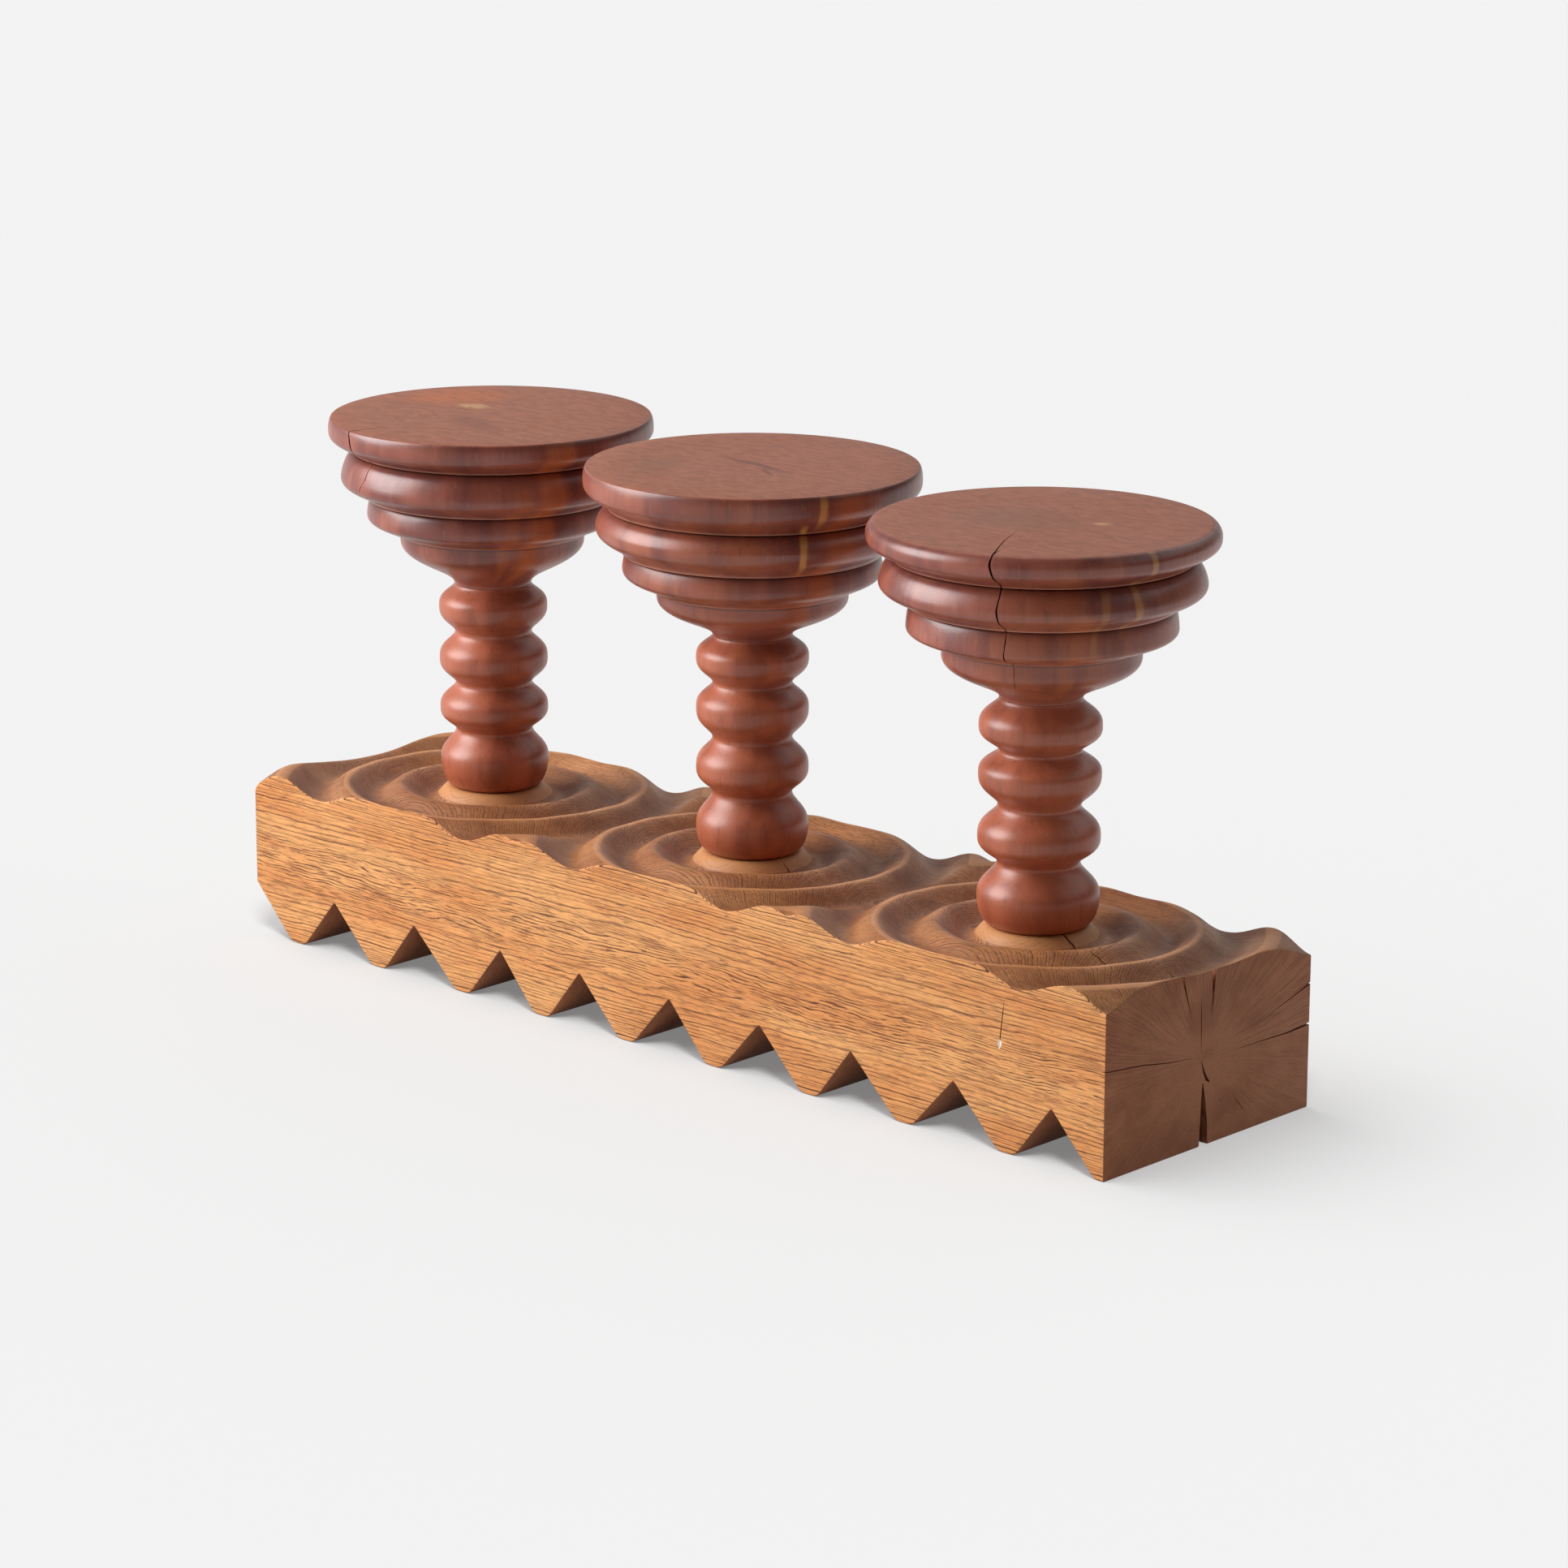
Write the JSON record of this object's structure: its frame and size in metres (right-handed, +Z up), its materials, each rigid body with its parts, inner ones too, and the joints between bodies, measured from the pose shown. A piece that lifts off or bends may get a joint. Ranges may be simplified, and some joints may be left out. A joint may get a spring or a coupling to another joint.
{
  "type": "bench",
  "caption": "Long carved oak beam with a sawtooth underside and rippled top, carrying turned bowl-shaped seats on beaded posts",
  "frame": {"origin": "centre of the bounding box at floor level", "axes": "+X runs along the beam towards its squared-off end with the heart checks, +Y runs to the back, +Z is up; the face seen in the picture's foreground is at -Y"},
  "size_m": [1.06, 0.304, 0.5125],
  "materials": {
    "oak_beam": "sawn oak sides with open grain, oiled carved top",
    "turned_seat": "satin oiled red-brown hardwood",
    "turned_post": "satin oiled red-brown hardwood",
    "oak_wedge": "plain dry oak"
  },
  "bodies": {
    "root": {"beam": "oak_beam", "seat_left": "turned_seat", "seat_centre": "turned_seat", "seat_right": "turned_seat", "post_left": "turned_post", "post_centre": "turned_post", "post_right": "turned_post", "seat_wedge_left": "oak_wedge", "seat_wedge_centre": "oak_wedge", "seat_wedge_right": "oak_wedge", "foot_wedge_left": "oak_wedge", "foot_wedge_centre": "oak_wedge", "foot_wedge_right": "oak_wedge"}
  },
  "joints": []
}
